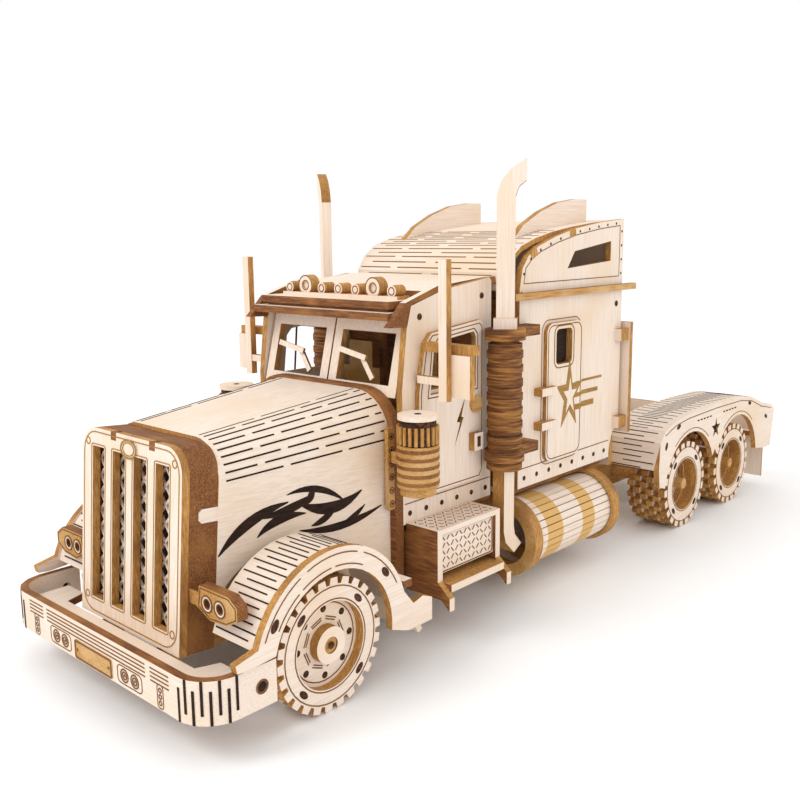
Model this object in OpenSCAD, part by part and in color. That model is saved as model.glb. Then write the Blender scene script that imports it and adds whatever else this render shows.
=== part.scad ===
// Wooden jigsaw model of a long-nosed tractor unit, cut from plywood sheet and slotted together.
// Lengths run along Y with the nose at -Y, the left side of the truck at +X and the floor at z = 0.

/* [Sheet] */
// Thickness of the plywood sheet
ply = 2; // [1.8:0.1:2.2]

/* [Wheels] */
// Radius over the tread teeth
wheel_r = 16; // [15.8:0.1:16.2]
// Radius of the dowel axles
dowel_r = 2; // [1.8:0.1:2.2]
// Radial gap between a dowel and its hole in a chassis rail
dowel_gap = 0.06; // [0.04:0.01:0.1]
// Outer face of the tyres, from the middle of the truck
track_x = 42; // [41.5:0.5:42.5]

/* [Body] */
// Outer half width of the cab
cab_x = 29; // [28.8:0.1:29.2]
// Outer half width of the sleeper
sleeper_x = 32; // [31.8:0.1:32.2]
// Half width of the grille
grille_x = 21.4; // [21:0.1:21.8]
// Height of the exhaust stack tips
stack_top = 128; // [124:1:132]

/* [Hidden] */
$fn = 48;
front_axle_y = 0;
rear_axle_ys = [179, 220];
nose_y = -36;
tail_y = 258;
middle_y = (nose_y + tail_y) / 2;
rail_x = 13;
rail_z = [11, 22];
rail_top = 24;
rail_step_y = 36;
sill_z = 32;
bumper_z = [9.6, 19.4];
grille_foot = [-27, 16];
grille_h = 47;
grille_lean = 4.6;
hood_rear_y = 36;
hood_rear_x = 27;
hood_rear_z = 68;
cab_rear_y = 77;
sleeper_y = [84, 146];
ledge_z = 91;
muffler_at = [36.2, 74];
cleaner_at = [37, 36];
tank_at = [30, 17.9];
tank_r = 12;
fender_x = 44;
pale = "bisque";
honey = "burlywood";
burnt = "peru";
dark = "saddlebrown";

// ---- helpers -------------------------------------------------------------------------------------

// Moves a part from truck coordinates, whose y is 0 at the front axle, to the row frame.
module placed() translate([0, -middle_y, 0]) children();

// A sheet that stands along the truck: 2D points are (y, z) and it grows from x to x + t.
module side_sheet(x, t = ply) translate([x, 0, 0]) rotate([90, 0, 90]) linear_extrude(t) children();

// A sheet across the truck: 2D points are (x, z) and it grows from y to y + t.
module cross_sheet(y, t = ply) translate([0, y + t, 0]) rotate([90, 0, 0]) linear_extrude(t) children();

// A level sheet: 2D points are (x, y) and it grows from z to z + t.
module level_sheet(z, t = ply) translate([0, 0, z]) linear_extrude(t) children();

// The part and its mirror image on the other side of the truck.
module both_sides() { children(); mirror([1, 0, 0]) children(); }

// Only the left one, or its mirror image for the right one.
module on_side(s) mirror([s < 0 ? 1 : 0, 0, 0]) children();

function arc(c, r, a0, a1, n = 12) =
    [for (i = [0:n]) c + r * [cos(a0 + (a1 - a0) * i / n), sin(a0 + (a1 - a0) * i / n)]];

// Outline of a toothed disc: each tooth takes the share `duty` of its pitch.
function toothed(n, r_root, r_tip, duty, turn = 0) = [for (i = [0:n - 1], k = [0:3])
    let (a = turn + (i + [0, 0.08, duty, duty + 0.08][k]) * 360 / n, r = (k == 0 || k == 3) ? r_root : r_tip)
    r * [cos(a), sin(a)]];

module round_rect(w, h, r) polygon(concat(
    arc([w / 2 - r, h / 2 - r], r, 0, 90, 6), arc([-w / 2 + r, h / 2 - r], r, 90, 180, 6),
    arc([-w / 2 + r, -h / 2 + r], r, 180, 270, 6), arc([w / 2 - r, -h / 2 + r], r, 270, 360, 6)));

// ---- chassis -------------------------------------------------------------------------------------

module chassis_rail(s) color(honey) on_side(s) difference() {
    side_sheet(rail_x - ply) polygon([[-26.5, rail_z[0]], [249.5, rail_z[0]], [249.5, rail_top], [rail_step_y, rail_top],
        [rail_step_y, rail_z[1]], [-15, rail_z[1]], [-15, 15], [-26.5, 15]]);
    for (y = concat([front_axle_y], rear_axle_ys))
        translate([0, y, wheel_r]) rotate([0, 90, 0]) cylinder(r = dowel_r + dowel_gap, h = 30);
}

module chassis_cross_members() color(burnt) for (y = [-16, 24, 66, 110, 150, 199, 246])
    translate([0, y, 16.5]) cube([2 * (rail_x - ply), ply, 9], center = true);

// Floor sheet with a box girder under the cab sides.
module floor_board() color(honey) {
    level_sheet(sill_z - ply) translate([-cab_x + ply, 39]) square([2 * (cab_x - ply), 41]);
    level_sheet(sill_z - ply) translate([-sleeper_x + ply, 80]) square([2 * (sleeper_x - ply), 58]);
    for (x = [-rail_x, rail_x - ply]) translate([x, 39, rail_top]) cube([ply, 99, sill_z - ply - rail_top]);
}

module fender_brackets() color(honey) {
    translate([-fender_x + ply, 24.6, rail_z[1]]) cube([2 * (fender_x - ply), 3, ply]);
    for (y = [160, 198, 238]) translate([-fender_x + ply, y, rail_top]) cube([2 * (fender_x - ply), 3, ply]);
}

// ---- nose ----------------------------------------------------------------------------------------

module bumper_face() color(pale) difference() {
    translate([0, 0, bumper_z[0]]) linear_extrude(bumper_z[1] - bumper_z[0])
        difference() {
            polygon(concat([[43, -17]], arc([34, nose_y + 9], 9, 0, -90, 8), arc([-34, nose_y + 9], 9, 270, 180, 8),
                [[-43, -17]]));
            polygon(concat([[41, -16]], arc([34, nose_y + 9], 7, 0, -90, 8), arc([-34, nose_y + 9], 7, 270, 180, 8),
                [[-41, -16]]));
        }
    for (s = [-1, 1]) translate([s * 42, -21, 14.5]) rotate([0, 90, 0]) cylinder(r = 1.2, h = 6, center = true);
}

module bumper_shelf() color(pale) level_sheet(14, ply) difference() {
    polygon([[-34, nose_y + ply], [34, nose_y + ply], [38, -31], [38, -22], [30, -22], [28, -27.5],
        [-28, -27.5], [-30, -22], [-38, -22], [-38, -31]]);
}

// Children lean back as the grille does; their z is 0 at the grille's foot and their y at its face.
module leaned() translate([0, grille_foot[0], grille_foot[1]]) rotate([-grille_lean, 0, 0]) children();

module grille_outline(grow = 0) polygon(concat([[grille_x + grow, 0]],
    arc([grille_x - 6, grille_h - 6], 6 + grow, 0, 90), arc([-grille_x + 6, grille_h - 6], 6 + grow, 90, 180),
    [[-grille_x - grow, 0]]));

module grille_plate() color(pale) leaned() cross_sheet(0) difference() {
    grille_outline();
    for (i = [-1.5:1:1.5]) translate([i * 9.2, 23.5]) square([5.4, 38], center = true);
    for (x = [-7, 9.5]) translate([x, grille_h]) square([2.4, 4], center = true);
}

module grille_screen() color(dark) leaned() cross_sheet(5, 1) translate([-18.4, 3]) square([36.8, 40]);

module radiator_surround() color(burnt) leaned() difference() {
    cross_sheet(2, 7.5) grille_outline();
    translate([-18.4, 1, 3]) cube([36.8, 8.5, 40]);
}

module hood_section(w, h, r) polygon(concat([[w, 0]], arc([w - r, h - r], r, 0, 90, 8),
    arc([-w + r, h - r], r, 90, 180, 8), [[-w, 0]]));

module hood_solid(inset) hull() {
    translate([0, -18, 15.9]) rotate([90, 0, 0]) linear_extrude(0.1)
        hood_section(grille_x - inset, 46.6 - inset, 9);
    translate([0, hood_rear_y, 15.9]) rotate([90, 0, 0]) linear_extrude(0.1)
        hood_section(hood_rear_x - inset, hood_rear_z - 16 - inset, 12);
}

module hood_shell() color(pale) difference() {
    hood_solid(0);
    translate([0, 0, -0.5]) scale([1, 1.02, 1]) hood_solid(1.6);
    leaned() translate([-60, -20, -20]) cube([120, 29.51, 90]);
    translate([-50, 0, wheel_r]) rotate([0, 90, 0]) cylinder(r = 19, h = 100);
    translate([-50, -30, 10]) cube([100, 80, 6]);
}

module firewall_frame() color(burnt) cross_sheet(hood_rear_y, 3) difference() {
    translate([0, 16]) hood_section(hood_rear_x + 2, hood_rear_z - 15.4, 13);
    translate([-rail_x - 1, 10]) square([2 * rail_x + 2, 16]);
    translate([-20, 40]) square([40, 16]);
}

module front_fender(s) color(pale) on_side(s) {
    side_sheet(fender_x - ply) difference() {
        polygon(concat([[-25, 19.9], [-28, 20.2], [-28.4, 22]], arc([0, wheel_r], 23.6, 162, 16, 20),
            [[26, 18.5], [29.5, 19.4], [33, 18], [33, 12]], [[24, 12]], arc([0, wheel_r], 18.3, -6, 166, 20)));
    }
    difference() {
        side_sheet(27.6, fender_x - ply - 27.6) polygon(concat(arc([0, wheel_r], 23, 164, 10, 20),
            arc([0, wheel_r], 21.6, 10, 164, 20)));
        hood_solid(0);
    }
    side_sheet(27.2, fender_x - ply - 27.2) polygon([[22.7, 20], [24.2, 20.4], [31.5, 9.5], [30, 8.8]]);
}

module headlamp(s) color(honey) on_side(s) {
    difference() {
        cross_sheet(-23.6, 2.8) polygon([[24.5, 28], [29, 26], [35, 26.4], [38.8, 28.4], [38.8, 31.4], [36, 33.2],
            [25.5, 33.2]]);
        for (x = [28.2, 32.8]) translate([x, -23.6, 29.6]) rotate([90, 0, 0]) cylinder(r = 1.1, h = 4, center = true);
    }
    translate([grille_x, -23.4, 28]) cube([3.3, 2.4, 3.4]);
}

// ---- cab -----------------------------------------------------------------------------------------

cab_front = [[34.8, sill_z + 1], [35.5, 68], [40.5, 86], [45, 92]];

module cab_side(s) color(pale) on_side(s) side_sheet(cab_x - ply) difference() {
    polygon(concat([[hood_rear_y + 3, sill_z]], [[hood_rear_y + 3, 68], [41, 84], [42.8, 90]],
        [[56, 93.5], [cab_rear_y - 1, 96], [cab_rear_y, 95], [cab_rear_y, sill_z]]));
    polygon([[45, 67], [47, 80], [49, 82.5], [70, 84.5], [71, 83], [71, 67]]);
}

module cab_door(s) color(pale) on_side(s) {
    side_sheet(cab_x + 0.02, 1.5) difference() {
        polygon([[44, 39], [44, 67], [46.5, 80], [49, 82.5], [70, 84.5], [71.5, 83], [71.5, 41], [70, 39]]);
        polygon([[48.5, 66], [50, 78], [52, 80], [67, 81.5], [68, 80], [68, 66]]);
        polygon([[58.5, 50], [62.6, 57.8], [61.6, 58.2], [63.5, 64], [59.6, 57], [61, 56.6]]);
    }
    translate([cab_x + 1.52, 65, 48]) cube([2, 4, 5]);
}

module cab_rear_wall() color(honey) cross_sheet(cab_rear_y - ply) difference() {
    translate([0, 62.75]) square([2 * (cab_x - ply), 61.5], center = true);
    translate([0, 66]) square([24, 26], center = true);
}

module windshield_frames() color(pale) for (s = [-1, 1])
    translate([0, hood_rear_y + 3, 66]) rotate([-14, 0, 0]) cross_sheet(0) difference() {
        translate([s > 0 ? 0.3 : -cab_x + ply + 0.6, 0]) square([cab_x - ply - 0.9, 20]);
        translate([s > 0 ? 3.3 : -cab_x + ply + 3.6, 3]) square([cab_x - ply - 6.9, 14]);
    }

module cab_roof() color(pale) {
    side_sheet(-cab_x + ply, 2 * (cab_x - ply)) polygon([[52, 91.2], [56, 92.2], [77, 94], [81.5, 94],
        [81.5, 96], [76, 96], [56, 94.4], [52, 93.2]]);
}

// Two slabs in steps between a pair of sloping cheeks.
module sun_visor() color(burnt) {
    level_sheet(86.4) translate([-cab_x + ply, 36]) square([2 * (cab_x - ply), 9.5]);
    level_sheet(88.4, 0.8) translate([-24, 39]) square([48, 6.5]);
    level_sheet(89.2) translate([-25.4, 38]) square([50.8, 18]);
    both_sides() side_sheet(cab_x - ply) polygon([[34.4, 84.9], [40.6, 90.9], [56, 95.4], [56, 93.6],
        [42.6, 90.2], [40.9, 84.6]]);
}

// Two spot lamps and five markers on a bar that lies along the visor.
module roof_lamps() color(honey) {
    side_sheet(-23, 46) polygon([[44, 91.2], [49, 91.2], [49, 92.1], [44, 92.1]]);
    for (x = [-13.6, 13.6]) translate([x, 46, 94.1]) rotate([90, 0, 0]) difference() {
        cylinder(r = 2.9, h = 3, center = true);
        translate([0, 0, 1]) cylinder(r = 1.1, h = 2);
    }
    for (x = [-20.5, -6.8, 0, 6.8, 20.5]) translate([x, 46.5, 93.4]) rotate([90, 0, 0])
        cylinder(r = 1.6, h = 4, center = true);
}

// A blade and an arm on each pane, parallel to the leaning glass.
module wipers() color(pale) for (x = [-11, 14]) translate([x, 41, 74.5]) rotate([-14, 0, 0]) {
    rotate([0, 10, 0]) translate([-4.5, -1.3, 1]) cube([11, 0.8, 1.5], center = true);
    rotate([0, 48, 0]) translate([2.6, -0.5, 0]) cube([7, 0.8, 1.5], center = true);
}

module dashboard() color(honey) side_sheet(-cab_x + ply, 2 * (cab_x - ply))
    polygon([[hood_rear_y + 5, 56], [hood_rear_y + 5, 63], [46, 64], [48, 62], [44, 56]]);

module seats() color(pale) for (x = [-13, 13]) translate([x, 0, 0]) {
    translate([-8, 54, sill_z]) cube([16, 14, 12]);
    translate([-8, 66, sill_z + 12]) cube([16, 3, 24]);
    translate([-5, 66, sill_z + 36]) cube([10, 3, 8]);
}

// ---- sleeper -------------------------------------------------------------------------------------

sleeper_top = [[86.7, 92], [88, 98], [91, 101.6], [96, 104.2], [105, 107], [116, 109.3], [131, 111.2],
    [sleeper_y[1], 112.4]];

module sleeper_side(s) color(pale) on_side(s) side_sheet(sleeper_x - ply) difference() {
    polygon(concat([[86.7, sill_z]], sleeper_top, [[sleeper_y[1], 44]], arc([158, 31.5], 18, 136, 180, 6),
        [[140, sill_z]]));
    polygon([[112, 97.2], [116, 102.4], [138, 105.2], [138, 98.8]]);
    translate([109, 73.5]) square([9, 11], center = true);
}

roof_line = [[81.6, 92], [82.6, 97], [85.5, 101.2], [90, 104.4], [97, 106.6], [106, 108.4], [116, 109.8],
    [131, 111.3], [sleeper_y[1], 112.2]];

// The bent sheet lies on two edge strips just inside the sleeper sides.
module sleeper_roof() color(pale) side_sheet(-sleeper_x + ply, 2 * (sleeper_x - ply)) polygon(concat(roof_line,
    [for (i = [len(roof_line) - 1:-1:0]) roof_line[i] + (i < 3 ? [1.4, -0.5] : [0.3, -1.5])]));

// A cross wall with a doorway, and the brown posts that fill the corners in front of the sides.
module sleeper_front_wall() color(burnt) {
    cross_sheet(84.7) difference() {
        translate([-sleeper_x + ply, sill_z]) square([2 * (sleeper_x - ply), 63]);
        translate([0, 66]) square([24, 26], center = true);
    }
    both_sides() translate([sleeper_x - ply - 1, 84.7, sill_z]) cube([ply, ply, 57]);
}

module sleeper_rear_wall() color(pale) cross_sheet(sleeper_y[1] - ply) difference() {
    translate([-sleeper_x + ply, 28]) square([2 * (sleeper_x - ply), 82.4]);
    translate([0, 72]) round_rect(26, 20, 3);
}

module roof_fins() color(pale) for (x = [-22, 22]) side_sheet(x - ply / 2)
    polygon([[96, 106.3], [101, 110.5], [110, 114.6], [120, 117.6], [130, 118.8], [137, 118.8], [137, 111.7],
        [131, 111.31], [116, 109.81], [106, 108.41], [97, 106.61]]);

module roof_ledges() color(burnt) both_sides()
    side_sheet(sleeper_x) polygon([[82, ledge_z], [82, ledge_z - 2], [152, ledge_z - 2], [152, ledge_z]]);

module rear_fairings() color(honey) both_sides() {
    translate([sleeper_x - ply, sleeper_y[1] + 1, 40]) cube([5, ply, 38]);
    for (z = [42, 72]) translate([sleeper_x, sleeper_y[1] - 4, z]) cube([2.5, 5, 4]);
    translate([sleeper_x - ply - 3, sleeper_y[1], 56]) cube([3, 3, 6]);
}

module hatch(s) color(pale) on_side(s) {
    side_sheet(sleeper_x + 0.02, 1.3) difference() {
        translate([109.5, 59.5]) round_rect(20, 43, 3);
        translate([109, 73.5]) round_rect(9, 11, 1.5);
    }
    for (z = [49, 59.5]) translate([sleeper_x, 94.8, z]) cube([3, 8, 2.4]);
}

// ---- exhausts, air cleaners and mirrors ----------------------------------------------------------

module mufflers() color(dark) both_sides() {
    translate([muffler_at[0], muffler_at[1], 0]) rotate_extrude() polygon(concat([[0, 42], [3.6, 42]],
        [for (i = [0:17], k = [0:3]) [i % 2 == 0 ? 5.1 : 4.8, 42 + (i + [0, 0.02, 0.98, 1][k]) * ply + 0.0]],
        [[3.6, 78], [3.6, 82], [0, 82]]));
    for (z = [44.5, 79]) {
        translate([muffler_at[0], muffler_at[1], z]) cylinder(r = 5.7, h = 3);
        translate([sleeper_x, muffler_at[1] + 2, z]) cube([5, 14, 3]);
    }
}

module exhaust_stacks() color(pale) both_sides()
    translate([muffler_at[0], muffler_at[1], 0]) rotate([0, 0, 90 - 57]) {
        rotate([90, 0, 0]) linear_extrude(3, center = true) polygon(concat([[-2.5, 82], [2.5, 82]],
            [[2.5, 118], [3.4, 120.6], [5.4, 122.2], [5.4, stack_top]], [[1.6, 125.6], [-1.2, 122.4], [-2.5, 118.6]]));
        translate([0, 0, 83.5]) cube([6.4, 4, 3], center = true);
    }

module exhaust_elbows() color(honey) both_sides() translate([muffler_at[0], muffler_at[1], 0]) rotate([0, 0, 90])
    rotate([90, 0, 0]) linear_extrude(4, center = true)
        polygon(concat([[2.2, 41.99], [-2.6, 41.99], [-2.6, 24], [-1.6, 20.5], [2.5, 16.5]], [[6, 18.5], [2.8, 22], [2.2, 25]]));

module air_cleaners() color(honey) both_sides() translate([cleaner_at[0], cleaner_at[1], 0]) {
    difference() {
        rotate_extrude() polygon([[0, 43], [4.6, 43], [4.6, 45], [5.4, 45.2], [5.4, 56], [4.8, 56], [4.8, 60.4],
            [4.7, 60.4], [4.7, 63.4], [0, 63.4]]);
        translate([0, 0, 61]) cylinder(r = 0.8, h = 5);
    }
    translate([-8, -1.5, 50]) cube([4, 3, 3]);
}

module mirrors() color(pale) both_sides() {
    translate([cab_x + 1.52, 46, 78]) cube([16, 3, 2.4]);
    translate([40.5, 45, 67]) cube([6, 2, 11]);
    translate([42, 47, 70]) cube([1.5, 1, 8]);
}

module antennas() color(honey) both_sides() {
    translate([38, 43, 66]) cube([2.6, 2, 36]);
    translate([cab_x + 1.52, 43.2, 70]) cube([38 - cab_x - 1.52, 1.6, 2]);
}

// ---- tank and steps ------------------------------------------------------------------------------

module step_box(s) color(honey) on_side(s) {
    side_sheet(37, ply) polygon([[42, 20], [65, 20], [65, 31], [42, 31]]);
    for (y = [40, 65]) cross_sheet(y) polygon([[rail_x, 14], [41, 14], [44, 11.5], [44, 15], [40, 18.5],
        [40, 31], [cab_x + 0.1, 31], [cab_x + 0.1, 29.9], [rail_x, 29.9]]);
    level_sheet(31, ply - 0.6) polygon([[cab_x + 0.1, 40], [40, 40], [40, 67], [cab_x + 0.1, 67]]);
    level_sheet(16, ply) polygon([[30, 42], [43, 42], [43, 65], [30, 65]]);
}

module fuel_tank_slats() color(pale) both_sides() for (i = [0:29])
    translate([tank_at[0], 84, tank_at[1]]) rotate([0, i * 12, 0])
        translate([9.2, 0, -0.95]) cube([1.4, 45, 1.9]);

module fuel_tank_rings() color(honey) both_sides() {
    for (y = [82, 127]) translate([tank_at[0], y, tank_at[1]]) rotate([-90, 0, 0]) difference() {
        cylinder(r = tank_r, h = 4);
        translate([0, 0, -1]) cylinder(r = y < 100 ? 8.4 : 3, h = 6);
        translate([0, 0, y < 100 ? 2 : -1]) difference() {
            cylinder(r = 10.9, h = 3);
            translate([0, 0, -1]) cylinder(r = 8.95, h = 5);
        }
    }
    for (y = [82, 129]) translate([rail_x, y, 15]) cube([6.5, 2, 6]);
}

// ---- tail ----------------------------------------------------------------------------------------

fender_line = concat([[155, 20], [154, 26], [154.5, 36]], [[158, 39.6], [166, 42], [176, 43], [199, 43.4],
    [222, 43], [233, 41.4], [244, 37.5], [254, 35.5], [258, 33], [255.5, 17.5]]);

module rear_fender(s) color(pale) on_side(s) {
    side_sheet(fender_x - ply) difference() {
        polygon(concat(fender_line, [[249, 17.5]], arc([220, wheel_r], 20, 8, 158, 14), [[199.5, 26]],
            arc([179, wheel_r], 20, 22, 172, 14)));
        polygon([for (i = [0:9]) [199.5, 34] + (i % 2 == 0 ? 4 : 1.6) * [sin(i * 36), cos(i * 36)]]);
    }
    side_sheet(24, fender_x - ply - 24) polygon(concat([for (i = [1:8]) fender_line[i]],
        [for (i = [8:-1:1]) fender_line[i] + (i > 6 ? [-0.4, -1.4] : i > 2 ? [0.4, -1.4] : [1.4, 0])]));
}

module mud_flaps() color(honey) both_sides() cross_sheet(252.2, 1.2)
    polygon([[26, 34], [41.9, 34], [41.9, 4], [26, 4]]);

module fifth_wheel() color(burnt) level_sheet(rail_z[1] + 4.1, 3) difference() {
    polygon(concat(arc([0, 196], 15, 180, 360, 16), [[12, 222], [3.5, 222], [3.5, 203]], arc([0, 203], 3.5, 0, -180, 8),
        [[-3.5, 222], [-12, 222]]));
}

module rear_lamp_board() color(honey) {
    translate([-fender_x + ply, 250, 22]) cube([2 * (fender_x - ply), 1.9, 9]);
    both_sides() translate([28, 253.4, 24]) cube([13.9, 4, 6]);
}

// ---- wheels --------------------------------------------------------------------------------------

// Children are built flat with their outer face at z = 0 and are laid against the left or right end.
module on_axle(y, s) on_side(s) translate([track_x, y, wheel_r]) rotate([0, -90, 0]) children();

module tyre(layers, n, r_in, root) for (i = [0:layers - 1]) translate([0, 0, i * 2.5])
    linear_extrude(2.5) difference() {
        polygon(toothed(n, root, wheel_r - (i % 2) * 0.4, i == 0 ? 0.62 : 0.5, (i % 2) * 180 / n));
        circle(r = r_in + (i % 2) * 0.3);
    }

module wheel_disc(r, depth, t) translate([0, 0, depth]) difference() {
    cylinder(r = r, h = t);
    translate([0, 0, -1]) cylinder(r = dowel_r, h = t + 2);
    for (i = [0:7]) rotate([0, 0, i * 45]) translate([r * 0.78, 0, -1]) cylinder(r = 0.8, h = t + 2);
}

module hub_cap(depth, r = 4.4) translate([0, 0, depth]) difference() {
    cylinder(r = r, h = 2.5);
    translate([0, 0, -1]) cylinder(r = dowel_r, h = 5);
}

module front_tyres() color(pale) for (s = [-1, 1]) on_axle(front_axle_y, s) tyre(4, 26, 10.4, 14.4);

module front_hubs() color(pale) for (s = [-1, 1]) on_axle(front_axle_y, s) {
    wheel_disc(10.4, 2.5, 2.5);
    hub_cap(0);
}

module rear_wheels(y) color(pale) for (s = [-1, 1]) on_axle(y, s) {
    tyre(6, 22, 9.6, 13.6);
    wheel_disc(9.6, 7.5, 2.5);
    hub_cap(5, 3.6);
}

module dowel(y) color(honey) translate([-track_x + 0.4, y, wheel_r]) rotate([0, 90, 0])
    cylinder(r = dowel_r, h = 2 * track_x - 0.8);

// ---- nodes ---------------------------------------------------------------------------------------

placed() {
    chassis_rail(1);  // left_chassis_rail
    chassis_rail(-1);  // right_chassis_rail
    chassis_cross_members();
    bumper_face();
    bumper_shelf();
    grille_plate();
    grille_screen();
    radiator_surround();
    hood_shell();
    firewall_frame();
    fender_brackets();
    front_fender(1);  // left_front_fender
    front_fender(-1);  // right_front_fender
    headlamp(1);  // left_headlamp
    headlamp(-1);  // right_headlamp
    floor_board();
    cab_side(1);  // left_cab_side
    cab_side(-1);  // right_cab_side
    cab_door(1);  // left_door
    cab_door(-1);  // right_door
    windshield_frames();
    cab_roof();
    sun_visor();
    roof_lamps();
    wipers();
    dashboard();
    seats();
    cab_rear_wall();
    sleeper_side(1);  // left_sleeper_side
    sleeper_side(-1);  // right_sleeper_side
    sleeper_front_wall();
    sleeper_rear_wall();
    sleeper_roof();
    roof_fins();
    roof_ledges();
    rear_fairings();
    hatch(1);  // left_hatch
    hatch(-1);  // right_hatch
    mufflers();
    exhaust_stacks();
    exhaust_elbows();
    air_cleaners();
    mirrors();
    antennas();
    step_box(1);  // left_step_box
    step_box(-1);  // right_step_box
    fuel_tank_slats();
    fuel_tank_rings();
    rear_fender(1);  // left_rear_fender
    rear_fender(-1);  // right_rear_fender
    mud_flaps();
    fifth_wheel();
    rear_lamp_board();
    dowel(front_axle_y);  // front_axle_dowel
    front_tyres();
    front_hubs();
    dowel(rear_axle_ys[0]);  // rear_axle_dowels_a
    rear_wheels(rear_axle_ys[0]);  // rear_wheels_a
    dowel(rear_axle_ys[1]);  // rear_axle_dowels_b
    rear_wheels(rear_axle_ys[1]);  // rear_wheels_b
}
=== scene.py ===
# %% [markdown]
# # A slotted plywood truck
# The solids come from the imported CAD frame. This script gives every sheet its wood and its scorched
# edge, and adds what the laser draws: kerfs, borders, bolts, tenons and lattice.

# %% Load the frame
import math

import bmesh
import bpy
from mathutils import Matrix, Vector


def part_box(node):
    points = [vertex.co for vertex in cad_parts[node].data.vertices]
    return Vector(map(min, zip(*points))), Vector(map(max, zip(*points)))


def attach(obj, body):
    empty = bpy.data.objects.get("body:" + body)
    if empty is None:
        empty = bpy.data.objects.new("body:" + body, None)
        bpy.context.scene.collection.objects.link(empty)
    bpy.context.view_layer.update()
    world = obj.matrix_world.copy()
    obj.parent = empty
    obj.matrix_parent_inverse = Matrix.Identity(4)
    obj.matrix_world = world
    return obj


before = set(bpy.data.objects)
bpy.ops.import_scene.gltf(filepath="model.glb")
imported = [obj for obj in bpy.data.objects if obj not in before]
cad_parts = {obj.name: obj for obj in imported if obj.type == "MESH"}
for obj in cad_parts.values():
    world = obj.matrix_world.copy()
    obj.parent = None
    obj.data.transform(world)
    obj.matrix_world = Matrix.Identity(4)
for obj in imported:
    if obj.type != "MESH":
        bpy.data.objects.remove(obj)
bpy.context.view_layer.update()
MM = 0.001
low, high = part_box("front_axle_dowel")
AXLE_Y = (low[1] + high[1]) / 2
WHEEL_Z = (low[2] + high[2]) / 2 / MM
print("front axle at", round(AXLE_Y, 4), "m and", round(WHEEL_Z, 2), "mm up")


def at(x, y, z):
    """A place on the truck in millimetres, y counted from the front axle."""
    return Vector((x * MM, AXLE_Y + y * MM, z * MM))


# %% [markdown]
# ## Woods
# Basswood ply has a pale, even face with fine fibres. The laser leaves its edges golden to dark brown,
# darker where the cut was slow. Both are noise stretched along the grain, so they need no unwrapping.


# %% Colour and node helpers
def linear(code):
    """An sRGB hex colour as linear RGBA."""
    rgb = [int(code[i : i + 2], 16) / 255 for i in (1, 3, 5)]
    return [c / 12.92 if c <= 0.04045 else ((c + 0.055) / 1.055) ** 2.4 for c in rgb] + [1.0]


def add(tree, kind, settings=None, inputs=None):
    """Adds a node with its settings; an input takes a number, a colour or another node's socket."""
    made = tree.nodes.new(kind)
    for key, value in (settings or {}).items():
        setattr(made, key, value)
    for key, value in (inputs or {}).items():
        if isinstance(value, bpy.types.NodeSocket):
            tree.links.new(value, made.inputs[key])
        else:
            made.inputs[key].default_value = value
    return made


def ramp(tree, factor, stops):
    """A colour ramp fed by factor, with (position, hex) stops."""
    made = add(tree, "ShaderNodeValToRGB", inputs={"Fac": factor})
    keys = made.color_ramp.elements
    while len(keys) < len(stops):
        keys.new(0.5)
    for key, (place, code) in zip(keys, stops):
        key.position, key.color = place, linear(code)
    return made


def wood(name, stops, grain, fibre_mm, length_mm, rough, relief, patch=None, patch_mm=30, bands=None):
    """Wood whose fibres are fibre_mm wide and length_mm long and run along the axis, or the plane, in grain."""
    material = bpy.data.materials.new(name)
    material.use_nodes = True
    tree = material.node_tree
    tree.nodes.clear()
    place = add(tree, "ShaderNodeTexCoord").outputs["Object"]
    squeeze = [1.0, 1.0, 1.0]
    for axis in grain:
        squeeze["XYZ".index(axis)] = fibre_mm / length_mm
    along = add(tree, "ShaderNodeMapping", inputs={"Vector": place, "Scale": squeeze})
    fibres = add(tree, "ShaderNodeTexNoise",
        inputs={"Vector": along.outputs[0], "Scale": 1 / (fibre_mm * MM), "Detail": 4.0, "Roughness": 0.6})
    colour = ramp(tree, fibres.outputs["Fac"], stops).outputs["Color"]
    if patch:
        haze = add(tree, "ShaderNodeTexNoise", inputs={"Vector": place, "Scale": 1 / (patch_mm * MM), "Detail": 2.0})
        amount = add(tree, "ShaderNodeMapRange",
            inputs={"Value": haze.outputs["Fac"], "From Min": 0.45, "From Max": 0.75, "To Max": 0.75})
        colour = add(tree, "ShaderNodeMix", {"data_type": "RGBA"},
            {0: amount.outputs[0], 6: colour, 7: linear(patch)}).outputs[2]
    if bands:
        y = add(tree, "ShaderNodeSeparateXYZ", inputs={0: place}).outputs["Y"]
        for middle, half, code in bands:
            away = add(tree, "ShaderNodeMath", {"operation": "SUBTRACT"}, {0: y, 1: AXLE_Y + middle * MM})
            size = add(tree, "ShaderNodeMath", {"operation": "ABSOLUTE"}, {0: away.outputs[0]})
            inside = add(tree, "ShaderNodeMath", {"operation": "LESS_THAN"}, {0: size.outputs[0], 1: half * MM})
            colour = add(tree, "ShaderNodeMix", {"data_type": "RGBA"},
                {0: inside.outputs[0], 6: colour, 7: linear(code)}).outputs[2]
    bump = add(tree, "ShaderNodeBump",
        inputs={"Height": fibres.outputs["Fac"], "Strength": relief, "Distance": 0.05 * MM})
    surface = add(tree, "ShaderNodeBsdfPrincipled",
        inputs={"Base Color": colour, "Roughness": rough, "IOR": 1.5, "Normal": bump.outputs[0]})
    surface.inputs["Specular IOR Level"].default_value = 0.3
    add(tree, "ShaderNodeOutputMaterial", inputs={"Surface": surface.outputs[0]})
    return material


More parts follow.
